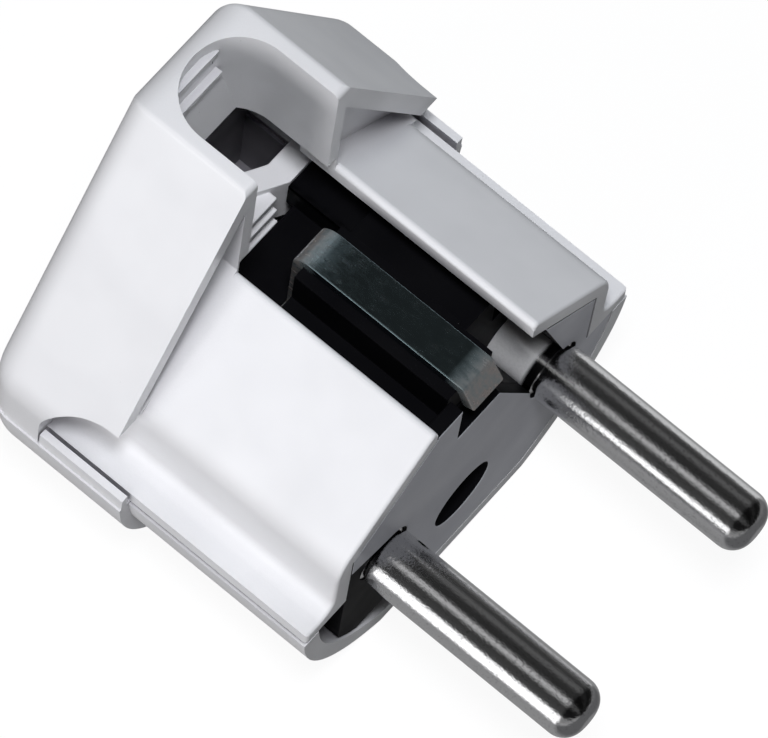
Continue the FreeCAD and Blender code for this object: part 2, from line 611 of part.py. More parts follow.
def make_contact_carrier():
    """Black carrier that holds the pins, the earth bow and the screws."""
    body = new_body("contact_carrier")
    block = [
        ("-carrier_half_width", "-carrier_bottom"), ("carrier_half_width", "-carrier_bottom"),
        ("carrier_half_width", "carrier_top"), ("-carrier_half_width", "carrier_top"),
    ]
    pad(body, "block", "XZ", [block], "plate_thickness", "carrier_depth")
    side = f"({SIDE_INNER} - fit_gap)"
    flange = insert_outline([(side, "carrier_top"), (f"-{side}", "carrier_top")])
    pad(body, "flange", "XZ", [flange], "plate_thickness", "pocket_depth + carrier_flange")
    core = [
        ("-core_half_width", "-carrier_bottom"), ("core_half_width", "-carrier_bottom"),
        ("core_half_width", "carrier_top"), ("-core_half_width", "carrier_top"),
    ]
    pad(body, "core", "XZ", [core], "carrier_depth", "core_depth")
    spine = [
        ("-spine_width / 2", f"-{STRIP_SEAT}"), ("spine_width / 2", f"-{STRIP_SEAT}"),
        ("spine_width / 2", STRIP_SEAT), ("-spine_width / 2", STRIP_SEAT),
    ]
    pad(body, "spine", "XZ", [spine], f"max(plate_thickness; {TIP_BEND})", "core_depth")
    saddle_foot = "(carrier_top - strip_thickness / 2)"
    saddle = [
        ("-saddle_half_width", saddle_foot), ("saddle_half_width", saddle_foot),
        ("saddle_half_width", "saddle_top"), ("-saddle_half_width", "saddle_top"),
    ]
    pad(body, "saddle", "XZ", [saddle], "plate_thickness", "core_depth")
    for name, gate in zip(("right_gate", "left_gate"), gate_outlines()):
        pocket(body, name, "XZ", [gate], "plate_thickness", "pocket_depth")
    openings = [(PIN_X, "0", PIN_OPENING), (f"-{PIN_X}", "0", PIN_OPENING)]
    pocket(body, "pin_openings", "XZ", openings, "plate_thickness", "pocket_depth")
    bore = f"{PIN_RADIUS} + bore_gap"
    bores = [(PIN_X, "0", bore), (f"-{PIN_X}", "0", bore)]
    pocket(body, "pin_bores", "XZ", bores, "pocket_depth", "carrier_depth")
    seat = ("0", "-screw_drop", "screw_hole_diameter / 2")
    pocket(body, "screw_seat", "XZ", [seat], "plate_thickness", "screw_seat")
    hole = ("0", "-screw_drop", "screw_diameter / 2 + fit_gap")
    pocket(body, "screw_bore", "XZ", [hole], "screw_seat", "core_depth")
    earth = ("0", "earth_screw_height", "earth_screw_diameter / 2 + bore_gap")
    tip = f"{BOW_BACK} + washer_thickness - earth_screw_length"
    pocket(body, "earth_bore", "XZ", [earth], "core_depth", tip)
    return body


def make_pin(label, x):
    """Turned pin with a ring groove at the face and a terminal barrel at its back."""
    body = new_body(label)
    move(body, x=x)
    barrel = "(barrel_diameter / 2)"
    wire = "(wire_hole_diameter / 2)"
    hole_end = f"({BARREL_END} - wire_hole_depth)"
    half_ring = "(ring_width / 2)"
    waist = f"({PIN_RADIUS} - ring_depth)"
    corners = [
        ("0", "-pin_length"), (PIN_RADIUS, "-pin_length"),
        (PIN_RADIUS, f"-{half_ring}"), (waist, f"-{half_ring}"),
        (waist, half_ring), (PIN_RADIUS, half_ring),
        (PIN_RADIUS, "carrier_depth"), (barrel, "carrier_depth"),
        (barrel, BARREL_END), (wire, BARREL_END),
        (wire, hole_end), ("0", hole_end),
    ]
    turn(body, "turned_pin", corners)
    fillet(body, "tip", "pin_tip_radius", x=PIN_RADIUS, y="-pin_length")
    hole = ("0", "carrier_depth + barrel_length / 2", "terminal_screw_diameter / 2 + bore_gap")
    pocket(body, "screw_hole", "XY", [hole], barrel, "0")
    return body


def make_screw(label, head, head_height, shank, length):
    """Slotted screw along Y with its seat at the origin and its head in front."""
    body = new_body(label)
    head_radius = f"({head} / 2)"
    shank_radius = f"({shank} / 2)"
    corners = [
        ("0", f"-{head_height}"), (head_radius, f"-{head_height}"), (head_radius, "0"),
        (shank_radius, "0"), (shank_radius, length), ("0", length),
    ]
    turn(body, "turned_screw", corners)
    slot = [
        (f"-{head_radius}", "-drive_width / 2"), (head_radius, "-drive_width / 2"),
        (head_radius, "drive_width / 2"), (f"-{head_radius}", "drive_width / 2"),
    ]
    pocket(body, "driver_slot", "XZ", [slot], f"-{head_height}", f"drive_depth - {head_height}")
    return body


def make_terminal_screw(label, x):
    """Small screw that presses a conductor in a pin's barrel from above."""
    shank = ("terminal_screw_diameter", "terminal_screw_length")
    body = make_screw(label, "terminal_head_diameter", "small_head_height", *shank)
    body.Placement.Rotation = FreeCAD.Rotation(FreeCAD.Vector(1, 0, 0), -90)
    move(body, x, "carrier_depth + barrel_length / 2", "barrel_diameter / 2 + fit_gap")
    return body


def make_earth_bow():
    """Bent strip round the carrier with a contact on top and below and an eye for each screw."""
    body = new_body("earth_bow")
    half_width = "(strip_width / 2)"
    lower_start = "(wall + fit_gap)"
    tip_inner = "(strip_thickness - tip_reach)"
    bow = [
        ("-tip_reach", "strip_height - tip_drop"),
        (tip_inner, "strip_height - tip_drop - strip_thickness / 2"),
        (TIP_BEND, STRIP_SEAT), ("core_depth", STRIP_SEAT),
        ("core_depth", f"-{STRIP_SEAT}"), (lower_start, f"-{STRIP_SEAT}"),
        (lower_start, "-strip_height"), (f"{BOW_BACK} - strip_bend", "-strip_height", "strip_bend"),
        (BOW_BACK, "strip_bend - strip_height"), (BOW_BACK, "strip_height - strip_bend", "strip_bend"),
        (f"{BOW_BACK} - strip_bend", "strip_height"), ("tip_start", "strip_height"),
    ]
    pad(body, "bow", "YZ", [bow], f"-{half_width}", half_width)
    eyes = [("0", "earth_screw_height", "eye_diameter / 2"), ("0", "-screw_drop", "eye_diameter / 2")]
    pad(body, "eyes", "XZ", eyes, "core_depth", BOW_BACK)
    holes = [
        ("0", "earth_screw_height", "earth_screw_diameter / 2 + bore_gap"),
        ("0", "-screw_drop", "screw_diameter / 2 + fit_gap"),
    ]
    pocket(body, "eye_holes", "XZ", holes, "core_depth", BOW_BACK)
    return body


def make_earth_washer():
    """Square washer that presses the earth conductor on the bow."""
    body = new_body("earth_terminal_washer")
    move(body, y=BOW_BACK, z="earth_screw_height")
    half = "(washer_width / 2)"
    square = [(f"-{half}", f"-{half}"), (half, f"-{half}"), (half, half), (f"-{half}", half)]
    pad(body, "square", "XZ", [square], "0", "washer_thickness")
    hole = ("0", "0", "earth_screw_diameter / 2 + bore_gap")
    pocket(body, "hole", "XZ", [hole], "0", "washer_thickness")
    return body


def make_cable_clamp():
    """White clamp bar whose bulge presses the cable against the grip ribs."""
    body = new_body("cable_clamp")
    foot = "clamp_bulge_half_width"
    nose = "clamp_nose_half_width"
    bar = [
        ("-clamp_half_length", CLAMP_START), (f"-{foot}", CLAMP_START),
        (f"-{nose}", f"{CLAMP_START} + clamp_bulge"), (nose, f"{CLAMP_START} + clamp_bulge"),
        (foot, CLAMP_START), ("clamp_half_length", CLAMP_START),
        ("clamp_half_length", CLAMP_BACK), (foot, CLAMP_BACK),
        (nose, f"{CLAMP_BACK} + clamp_bulge"), (f"-{nose}", f"{CLAMP_BACK} + clamp_bulge"),
        (f"-{foot}", CLAMP_BACK), ("-clamp_half_length", CLAMP_BACK),
    ]
    pad(body, "bar", "XY", [bar], "clamp_height - clamp_width / 2", "clamp_height + clamp_width / 2")
    radius = "clamp_screw_diameter / 2 + fit_gap"
    holes = [(CLAMP_SCREW_X, "clamp_height", radius), (f"-{CLAMP_SCREW_X}", "clamp_height", radius)]
    pocket(body, "screw_holes", "XZ", holes, CLAMP_START, CLAMP_BACK)
    return body


def make_clamp_screw(label, x):
    """Screw that draws the cable clamp to its post."""
    body = make_screw(
        label, "clamp_head_diameter", "small_head_height", "clamp_screw_diameter", "clamp_screw_length"
    )
    move(body, x, CLAMP_START, "clamp_height")
    return body


def make_housing_screw():
    """Long screw through the face and the carrier into the boss of the lower shell."""
    label = "housing_screw"
    body = make_screw(label, "screw_head_diameter", "screw_head_height", "screw_diameter", "screw_length")
    move(body, y="screw_seat", z="-screw_drop")
    return body


def make_earth_screw():
    """Earth terminal screw, entered from the back; its head bears on the washer."""
    label = "earth_terminal_screw"
    body = make_screw(
        label, "earth_head_diameter", "small_head_height", "earth_screw_diameter", "earth_screw_length"
    )
    body.Placement.Rotation = FreeCAD.Rotation(FreeCAD.Vector(0, 0, 1), 180)
    move(body, y=f"{BOW_BACK} + washer_thickness", z="earth_screw_height")
    return body


def check_and_export(parts):
    """Stop on any failed object, then write one STEP file for each sub-part."""
    doc.recompute()
    for item in doc.Objects:
        if "Invalid" in item.State or "Error" in item.State:
            raise RuntimeError(f"{item.Label} failed: {item.State}")
    os.makedirs("parts", exist_ok=True)
    for part in parts:
        if part.Shape.isNull() or not part.Shape.isValid():
            raise RuntimeError(f"{part.Label} has no valid shape")
        part.Shape.exportStep(os.path.join("parts", part.Label + ".step"))
        print(part.Label, len(part.Shape.Solids), round(part.Shape.Volume, 1))


check_and_export([
    make_upper_housing(),
    make_lower_housing(),
    make_front_plate(),
    make_contact_carrier(),
    make_pin("left_pin", f"-{PIN_X}"),
    make_pin("right_pin", PIN_X),
    make_terminal_screw("left_terminal_screw", f"-{PIN_X}"),
    make_terminal_screw("right_terminal_screw", PIN_X),
    make_earth_bow(),
    make_earth_washer(),
    make_earth_screw(),
    make_cable_clamp(),
    make_clamp_screw("left_clamp_screw", f"-{CLAMP_SCREW_X}"),
    make_clamp_screw("right_clamp_screw", CLAMP_SCREW_X),
    make_housing_screw(),
])
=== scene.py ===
"""Dresses an angled earthed plug: moulded white shells, bright pins and a plated earth strip.

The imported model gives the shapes. Each solid has a softened copy with a procedural finish. Four small pieces
have no solid, and the row of ledges among them is made with Geometry Nodes. Lengths are in metres.
"""

import logging
import math
from dataclasses import dataclass, field
from enum import Enum

import bmesh
import bpy
from mathutils import Matrix, Vector

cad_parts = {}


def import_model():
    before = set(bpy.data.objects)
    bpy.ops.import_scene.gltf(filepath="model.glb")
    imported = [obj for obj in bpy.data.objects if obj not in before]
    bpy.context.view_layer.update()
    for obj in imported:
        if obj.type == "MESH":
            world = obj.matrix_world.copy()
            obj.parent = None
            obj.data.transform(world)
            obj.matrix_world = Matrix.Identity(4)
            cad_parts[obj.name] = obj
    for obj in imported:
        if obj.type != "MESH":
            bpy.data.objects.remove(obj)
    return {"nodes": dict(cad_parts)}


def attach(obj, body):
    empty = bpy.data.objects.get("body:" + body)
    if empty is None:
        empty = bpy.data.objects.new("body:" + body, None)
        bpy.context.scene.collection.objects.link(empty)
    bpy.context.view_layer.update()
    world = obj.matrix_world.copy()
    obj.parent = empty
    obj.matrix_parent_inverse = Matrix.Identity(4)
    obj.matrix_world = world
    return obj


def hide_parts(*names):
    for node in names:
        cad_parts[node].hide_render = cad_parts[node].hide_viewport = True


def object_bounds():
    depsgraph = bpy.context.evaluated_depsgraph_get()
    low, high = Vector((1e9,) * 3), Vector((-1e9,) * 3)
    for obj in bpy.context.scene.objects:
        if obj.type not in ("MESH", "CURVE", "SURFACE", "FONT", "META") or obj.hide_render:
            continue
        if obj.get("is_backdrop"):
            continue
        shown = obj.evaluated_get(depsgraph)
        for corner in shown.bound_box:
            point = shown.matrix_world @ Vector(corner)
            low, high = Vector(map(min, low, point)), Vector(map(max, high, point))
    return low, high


LOG = logging.getLogger("plug")
MM = 0.001
ROOT_BODY = "root"
BEVEL_SEGMENTS = 2
# The floor lies this far under the plug, so that the two faces don't coincide.
FLOOR_GAP = 0.01 * MM
# Distances from a cell's middle over which a speck fades out, and noise over which stains and marks fade in.
SPECK_FADE = (0.03, 0.08)
STAIN_FADE = (0.5, 0.75)
MARK_FADE = (0.0, 0.04)

Colour = tuple[float, float, float]
Point = tuple[float, float, float]
PlanePoint = tuple[float, float]
Span = tuple[float, float]
Box = tuple[Point, Point]
Socket = bpy.types.NodeSocket

# Places of the colour sockets on a Mix node.
MIX_FIRST, MIX_SECOND, MIX_RESULT = 6, 7, 2


class Slot(Enum):
    """Material slots of the record."""

    SHELL = "white_shell"
    INSERT = "white_insert"
    CARRIER = "black_carrier"
    PIN = "plated_pin"
    STRIP = "plated_strip"
    SCREW = "zinc_screw"


class NodeDraft:
    """Small helper that adds and links shader or geometry nodes in one tree."""

    def __init__(self, tree: bpy.types.NodeTree) -> None:
        """Start on a tree.

        Args:
            tree: The node tree to fill.
        """
        self.tree = tree

    def add(self, kind: str, **settings: object) -> bpy.types.Node:
        """Add a node.

        Args:
            kind: The node's type name.
            settings: Values of its properties.

        Returns:
            The new node.
        """
        node = self.tree.nodes.new(kind)
        for name, value in settings.items():
            setattr(node, name, value)
        return node

    def join(self, source: Socket, target: Socket) -> None:
        """Link two sockets.

        Args:
            source: The output socket.
            target: The input socket.
        """
        self.tree.links.new(source, target)

    def math(self, operation: str, first: object, second: object = None) -> Socket:
        """Add a Math node.

        Args:
            operation: The node's operation.
            first: A socket or a number.
            second: A socket, a number or nothing.

        Returns:
            The node's output.
        """
        node = self.add("ShaderNodeMath", operation=operation)
        for index, item in enumerate((first, second)):
            if isinstance(item, Socket):
                self.join(item, node.inputs[index])
            elif item is not None:
                node.inputs[index].default_value = item
        return node.outputs[0]

    def remap(self, value: Socket, low: float, high: float, start: float, end: float) -> Socket:
        """Add a clamped Map Range node.

        Args:
            value: The socket to remap.
            low: Input value that gives start.
            high: Input value that gives end.
            start: Output at low.
            end: Output at high.

        Returns:
            The remapped value.
        """
        node = self.add("ShaderNodeMapRange")
        self.join(value, node.inputs["Value"])
        for name, number in (("From Min", low), ("From Max", high), ("To Min", start), ("To Max", end)):
            node.inputs[name].default_value = number
        return node.outputs["Result"]


class EffectGroups:
    """Shader node groups that several finishes share."""

    def __init__(self) -> None:
        """Build each group once."""
        self.grain = self._grain()
        self.scratches = self._scratches()
        self.dust = self._dust()

    @staticmethod
    def _open(
        name: str, inputs: dict[str, float], outputs: tuple[str, ...]
    ) -> tuple[NodeDraft, bpy.types.Node, bpy.types.Node]:
        """Start a group with float sockets.

        Args:
            name: The group's name.
            inputs: Input names and default values.
            outputs: Output names.

        Returns:
            The draft, the group's input node and its output node.
        """
        tree = bpy.data.node_groups.new(name, "ShaderNodeTree")
        for label, value in inputs.items():
            socket = tree.interface.new_socket(label, in_out="INPUT", socket_type="NodeSocketFloat")
            socket.default_value = value
        for label in outputs:
            tree.interface.new_socket(label, in_out="OUTPUT", socket_type="NodeSocketFloat")
        draft = NodeDraft(tree)
        return draft, draft.add("NodeGroupInput"), draft.add("NodeGroupOutput")

    def _grain(self) -> bpy.types.NodeTree:
        """Build moulded unevenness: broad flow waves and a fine spark-eroded grain.

        Returns:
            The group.
        """
        inputs = {"Wave Scale": 120.0, "Grain Scale": 4000.0}
        draft, given, result = self._open("Moulded_Grain", inputs, ("Wave", "Grain"))
        place = draft.add("ShaderNodeTexCoord")
        for label, output, detail in (("Wave Scale", "Wave", 2.0), ("Grain Scale", "Grain", 3.0)):
            noise = draft.add("ShaderNodeTexNoise")
            noise.inputs["Detail"].default_value = detail
            draft.join(place.outputs["Object"], noise.inputs["Vector"])
            draft.join(given.outputs[label], noise.inputs["Scale"])
            draft.join(noise.outputs["Fac"], result.inputs[output])
        return draft.tree

    def _scratches(self) -> bpy.types.NodeTree:
        """Build fine lines along Y, as a drawn or handled metal surface shows.

        Returns:
            The group.
        """
        inputs = {"Across": 6000.0, "Along": 60.0, "Share": 0.62}
        draft, given, result = self._open("Drawn_Lines", inputs, ("Lines", "Marks"))
        place = draft.add("ShaderNodeTexCoord")
        stretch = draft.add("ShaderNodeCombineXYZ")
        for axis, label in (("X", "Across"), ("Y", "Along"), ("Z", "Across")):
            draft.join(given.outputs[label], stretch.inputs[axis])
        scaled = draft.add("ShaderNodeVectorMath", operation="MULTIPLY")
        draft.join(place.outputs["Object"], scaled.inputs[0])
        draft.join(stretch.outputs["Vector"], scaled.inputs[1])
        noise = draft.add("ShaderNodeTexNoise")
        noise.inputs["Scale"].default_value = 1.0
        noise.inputs["Detail"].default_value = 4.0
        draft.join(scaled.outputs["Vector"], noise.inputs["Vector"])
        draft.join(noise.outputs["Fac"], result.inputs["Lines"])
        over = draft.math("SUBTRACT", noise.outputs["Fac"], given.outputs["Share"])
        draft.join(draft.remap(over, *MARK_FADE, 0.0, 1.0), result.inputs["Marks"])
        return draft.tree

    def _dust(self) -> bpy.types.NodeTree:
        """Build sparse specks and soft handling stains.

        Returns:
            The group.
        """
        inputs = {"Speck Scale": 900.0, "Stain Scale": 70.0, "Rarity": 0.97}
        draft, given, result = self._open("Specks_And_Stains", inputs, ("Specks", "Stains"))
        place = draft.add("ShaderNodeTexCoord")
        cells = draft.add("ShaderNodeTexVoronoi")
        draft.join(place.outputs["Object"], cells.inputs["Vector"])
        draft.join(given.outputs["Speck Scale"], cells.inputs["Scale"])
        near = draft.remap(cells.outputs["Distance"], *SPECK_FADE, 1.0, 0.0)
        rare = draft.add("ShaderNodeSeparateColor")
        draft.join(cells.outputs["Color"], rare.inputs["Color"])
        chosen = draft.math("GREATER_THAN", rare.outputs["Red"], given.outputs["Rarity"])
        draft.join(draft.math("MULTIPLY", near, chosen), result.inputs["Specks"])
        stain = draft.add("ShaderNodeTexNoise")
        stain.inputs["Detail"].default_value = 3.0
        draft.join(place.outputs["Object"], stain.inputs["Vector"])
        draft.join(given.outputs["Stain Scale"], stain.inputs["Scale"])
        draft.join(draft.remap(stain.outputs["Fac"], *STAIN_FADE, 0.0, 1.0), result.inputs["Stains"])
        return draft.tree


class FinishDraft(NodeDraft):
    """A material being built round its Principled BSDF."""

    def __init__(self, name: str) -> None:
        """Make an empty material with a Principled BSDF.

        Args:
            name: The material's name.
        """
        self.material = bpy.data.materials.new(name)
        self.material.use_nodes = True
        super().__init__(self.material.node_tree)
        self.tree.nodes.clear()
        self.output = self.add("ShaderNodeOutputMaterial")
        self.shader = self.add("ShaderNodeBsdfPrincipled")
        self.join(self.shader.outputs["BSDF"], self.output.inputs["Surface"])

    def group(self, tree: bpy.types.NodeTree, **values: float) -> bpy.types.Node:
        """Place a shared effect.

        Args:
            tree: The effect's group.
            values: Its inputs, with underscores for spaces.

        Returns:
            The group node.
        """
        node = self.add("ShaderNodeGroup", node_tree=tree)
        for name, value in values.items():
            node.inputs[name.replace("_", " ")].default_value = value
        return node

    def blend_colour(self, factor: Socket, first: object, second: object) -> Socket:
        """Mix two colours.

        Args:
            factor: The share of the second colour.
            first: A colour or a colour socket.
            second: A colour or a colour socket.

        Returns:
            The mixed colour.
        """
        mix = self.add("ShaderNodeMix", data_type="RGBA")
        self.join(factor, mix.inputs["Factor"])
        for socket, item in ((mix.inputs[MIX_FIRST], first), (mix.inputs[MIX_SECOND], second)):
            if isinstance(item, Socket):
                self.join(item, socket)
            else:
                socket.default_value = (*item, 1.0)
        return mix.outputs[MIX_RESULT]

    def bump(self, height: Socket, strength: float, depth: float, below: Socket | None = None) -> Socket:
        """Add a Bump node.

        Args:
            height: The height to use.
            strength: Its strength.
            depth: Its depth in metres.
            below: The normal of another Bump node, or nothing.

        Returns:
            The bumped normal.
        """
        node = self.add("ShaderNodeBump")
        node.inputs["Strength"].default_value = strength
        node.inputs["Distance"].default_value = depth
        self.join(height, node.inputs["Height"])
        if below is not None:
            self.join(below, node.inputs["Normal"])
        return node.outputs["Normal"]


@dataclass(frozen=True)
class MouldedPlastic:
    """A moulded thermoplastic with a fine grain, flow waves, a few specks and, where given, painted shade in
    its crevices.

    A band is the span of noise, or of open surroundings for the painted crevice shade, over which an effect
    changes.
    """

    name: str
    slot: Slot
    colour: Colour
    shade: Colour
    speck: Colour
    roughness: Span
    grain_depth: float
    specular: float = 0.5
    painted_shade: Colour | None = None
    painted_shade_reach: float = 5.0 * MM
    painted_shade_share: float = 0.75
    painted_shade_band: Span = (0.15, 0.75)
    painted_shade_samples: int = 8
    tone_band: Span = (0.35, 0.7)
    rough_band: Span = (0.3, 0.7)
    wave_scale: float = 140.0
    wave_depth: float = 0.06 * MM
    wave_strength: float = 0.2
    grain_scale: float = 5200.0
    grain_strength: float = 0.25
    speck_scale: float = 900.0
    speck_share: float = 0.35
    stain_scale: float = 90.0
    stain_share: float = 0.25

    def build(self, effects: EffectGroups) -> bpy.types.Material:
        """Build the material.

        Args:
            effects: The shared groups.

        Returns:
            The material.
        """
        draft = FinishDraft(self.name)
        grain = draft.group(effects.grain, Wave_Scale=self.wave_scale, Grain_Scale=self.grain_scale)
        dust = draft.group(effects.dust, Speck_Scale=self.speck_scale, Stain_Scale=self.stain_scale)
        waves = draft.remap(grain.outputs["Wave"], *self.tone_band, 0.0, 1.0)
        tone = draft.blend_colour(waves, self.colour, self.shade)
        stains = draft.math("MULTIPLY", dust.outputs["Stains"], self.stain_share)
        stained = draft.blend_colour(stains, tone, self.shade)
        specks = draft.math("MULTIPLY", dust.outputs["Specks"], self.speck_share)
        base = draft.blend_colour(specks, stained, self.speck)
        # Painted shade: where ambient occlusion finds little open room nearby, the colour darkens towards
        # painted_shade, standing in for shade in crevices, recesses and joints.
        if self.painted_shade is not None:
            open_sky = draft.add("ShaderNodeAmbientOcclusion", samples=self.painted_shade_samples)
            open_sky.inputs["Distance"].default_value = self.painted_shade_reach
            painted_shade_mask = draft.remap(open_sky.outputs["AO"], *self.painted_shade_band, self.painted_shade_share, 0.0)
            base = draft.blend_colour(painted_shade_mask, base, self.painted_shade)
        draft.join(base, draft.shader.inputs["Base Color"])
        rough = draft.remap(grain.outputs["Wave"], *self.rough_band, *self.roughness)
        draft.join(rough, draft.shader.inputs["Roughness"])
        draft.shader.inputs["Specular IOR Level"].default_value = self.specular
        fine = draft.bump(grain.outputs["Grain"], self.grain_strength, self.grain_depth)
        both = draft.bump(grain.outputs["Wave"], self.wave_strength, self.wave_depth, fine)
        draft.join(both, draft.shader.inputs["Normal"])
        return draft.material


@dataclass(frozen=True)
class PlatedMetal:
    """A plated metal with drawn lines, handling marks, small pits and, where given, two dull ends along Y:
    real tarnish on the strip, painted sheen at the roots of the pins.

    A band is the span of noise over which an effect changes.
    """

    name: str
    slot: Slot
    colour: Colour
    worn: Colour
    roughness: Span
    across: float
    along: float
    share: float
    line_depth: float
    tarnish_and_sheen: Colour | None = None
    tarnish_and_sheen_front: Span = (0.4 * MM, 2.4 * MM)
    tarnish_and_sheen_back: Span = (14.4 * MM, 16.0 * MM)
    tarnish_and_sheen_least: float = 0.55
    tarnish_and_sheen_metallic: float = 0.3
    tarnish_and_sheen_relief: float = 0.1
    tarnish_and_sheen_band: Span = (0.3, 0.6)
    rough_band: Span = (0.35, 0.7)
    line_strength: float = 0.3
    mark_share: float = 0.5
    pit_scale: float = 700.0
    pit_share: float = 0.6
    stain_scale: float = 160.0
    stain_haze: float = 0.08

    def build(self, effects: EffectGroups) -> bpy.types.Material:
        """Build the material.

        Args:
            effects: The shared groups.

        Returns:
            The material.
        """
        draft = FinishDraft(self.name)
        lines = draft.group(effects.scratches, Across=self.across, Along=self.along, Share=self.share)
        dust = draft.group(effects.dust, Speck_Scale=self.pit_scale, Stain_Scale=self.stain_scale)
        draft.shader.inputs["Metallic"].default_value = 1.0
        height = lines.outputs["Lines"]
        marks = draft.math("MULTIPLY", lines.outputs["Marks"], self.mark_share)
        tone = draft.blend_colour(marks, self.colour, self.worn)
        pits = draft.math("MULTIPLY", dust.outputs["Specks"], self.pit_share)
        base = draft.blend_colour(pits, tone, self.worn)
        # The dull ends are tarnish on the strip; on the pins the near-white dull root is painted sheen.
        if self.tarnish_and_sheen is not None:
            place = draft.add("ShaderNodeTexCoord")
            split = draft.add("ShaderNodeSeparateXYZ")
            draft.join(place.outputs["Object"], split.inputs["Vector"])
            front = draft.remap(split.outputs["Y"], *self.tarnish_and_sheen_front, 1.0, 0.0)
            back = draft.remap(split.outputs["Y"], *self.tarnish_and_sheen_back, 0.0, 1.0)
            patchy = draft.remap(lines.outputs["Lines"], *self.tarnish_and_sheen_band, self.tarnish_and_sheen_least, 1.0)
            dull = draft.math("MULTIPLY", draft.math("MAXIMUM", front, back), patchy)
            base = draft.blend_colour(dull, base, self.tarnish_and_sheen)
            metallic = draft.remap(dull, 0.0, 1.0, 1.0, self.tarnish_and_sheen_metallic)
            draft.join(metallic, draft.shader.inputs["Metallic"])
            height = draft.math("MULTIPLY", height, draft.remap(dull, 0.0, 1.0, 1.0, self.tarnish_and_sheen_relief))
        draft.join(base, draft.shader.inputs["Base Color"])
        rough = draft.remap(lines.outputs["Lines"], *self.rough_band, *self.roughness)
        haze = draft.math("MULTIPLY", dust.outputs["Stains"], self.stain_haze)
        hazed = draft.math("ADD", rough, haze)
        draft.join(hazed, draft.shader.inputs["Roughness"])
        lined = draft.bump(height, self.line_strength, self.line_depth)
        draft.join(lined, draft.shader.inputs["Normal"])
        return draft.material


# The shell's crevices are darkened with painted shade.
WHITE_SHELL = MouldedPlastic(
    name="White_Housing", slot=Slot.SHELL, colour=(0.86, 0.865, 0.88), shade=(0.81, 0.815, 0.83),
    speck=(0.35, 0.34, 0.33), roughness=(0.3, 0.4), grain_depth=0.02 * MM, painted_shade=(0.34, 0.33, 0.36),
)
# Painted shade: the front plate's colour is a cool grey, darker than the insert's white, standing in for the
# shade of its front face, which faces away from the lamps.
INSERT_WITH_PAINTED_SHADE = MouldedPlastic(
    name="White_Insert_Painted_Shade", slot=Slot.INSERT, colour=(0.66, 0.67, 0.715), shade=(0.6, 0.61, 0.655),
    speck=(0.3, 0.3, 0.3), roughness=(0.42, 0.55), grain_depth=0.03 * MM,
)
# Painted light: the clamp wears the insert's white made lighter, standing in for light on the clamp deep in
# the hood.
CLAMP_WITH_PAINTED_LIGHT = MouldedPlastic(
    name="White_Clamp_Painted_Light", slot=Slot.INSERT, colour=(0.9, 0.9, 0.92), shade=(0.86, 0.86, 0.88),
    speck=(0.35, 0.34, 0.33), roughness=(0.36, 0.46), grain_depth=0.02 * MM,
)
# The carrier's black is darker than black plastic: its own colour with painted shade of the deep slots round
# it.
CARRIER_BLACK_AND_SHADE = MouldedPlastic(
    name="Black_Carrier_And_Shade", slot=Slot.CARRIER, colour=(0.004, 0.004, 0.005), shade=(0.006, 0.006, 0.007),
    speck=(0.03, 0.03, 0.03), roughness=(0.5, 0.65), grain_depth=0.03 * MM, specular=0.06,
)
# Painted shade: a dark grey for sheets put where the hollow behind the clamp lies in shade.
SHADE_LINING = MouldedPlastic(
    name="Painted_Shade_Lining", slot=Slot.CARRIER, colour=(0.15, 0.145, 0.16), shade=(0.11, 0.105, 0.12),
    speck=(0.4, 0.4, 0.42), roughness=(0.4, 0.55), grain_depth=0.03 * MM, specular=0.2,
)
# Only the roots of the pins are dull, so their front span lies beyond the tips. Their near-white matte finish,
# which the lamps light, is painted sheen in place of the roots' bright reflection.
BRIGHT_PIN = PlatedMetal(
    name="Bright_Pin", slot=Slot.PIN, colour=(0.8, 0.8, 0.81), worn=(0.45, 0.45, 0.46),
    roughness=(0.07, 0.18), across=6000.0, along=4500.0, share=0.6, line_depth=0.04 * MM,
    tarnish_and_sheen=(0.95, 0.95, 0.96), tarnish_and_sheen_front=(-30.0 * MM, -29.0 * MM), tarnish_and_sheen_back=(0.9 * MM, 1.2 * MM),
    tarnish_and_sheen_least=0.92,
)
PLATED_STRIP = PlatedMetal(
    name="Plated_Strip", slot=Slot.STRIP, colour=(0.33, 0.44, 0.47), worn=(0.28, 0.34, 0.36),
    roughness=(0.12, 0.3), across=2600.0, along=1100.0, share=0.62, line_depth=0.012 * MM,
    tarnish_and_sheen=(0.27, 0.245, 0.23),
)
ZINC_SCREW = PlatedMetal(
    name="Zinc_Screw", slot=Slot.SCREW, colour=(0.6, 0.6, 0.58), worn=(0.35, 0.34, 0.32),
    roughness=(0.25, 0.42), across=3000.0, along=2600.0, share=0.62, line_depth=0.02 * MM,
)


class Wardrobe:
    """The materials of the plug, each built once when it is first asked for."""

    def __init__(self) -> None:
        """Start with the shared effects and no material."""
        self.effects = EffectGroups()
        self.materials: dict[str, bpy.types.Material] = {}

    def material(self, finish: MouldedPlastic | PlatedMetal) -> bpy.types.Material:
        """Give the material of a finish.

        Args:
            finish: The finish to look up.

        Returns:
            Its material.
        """
        if finish.name not in self.materials:
            self.materials[finish.name] = finish.build(self.effects)
        return self.materials[finish.name]


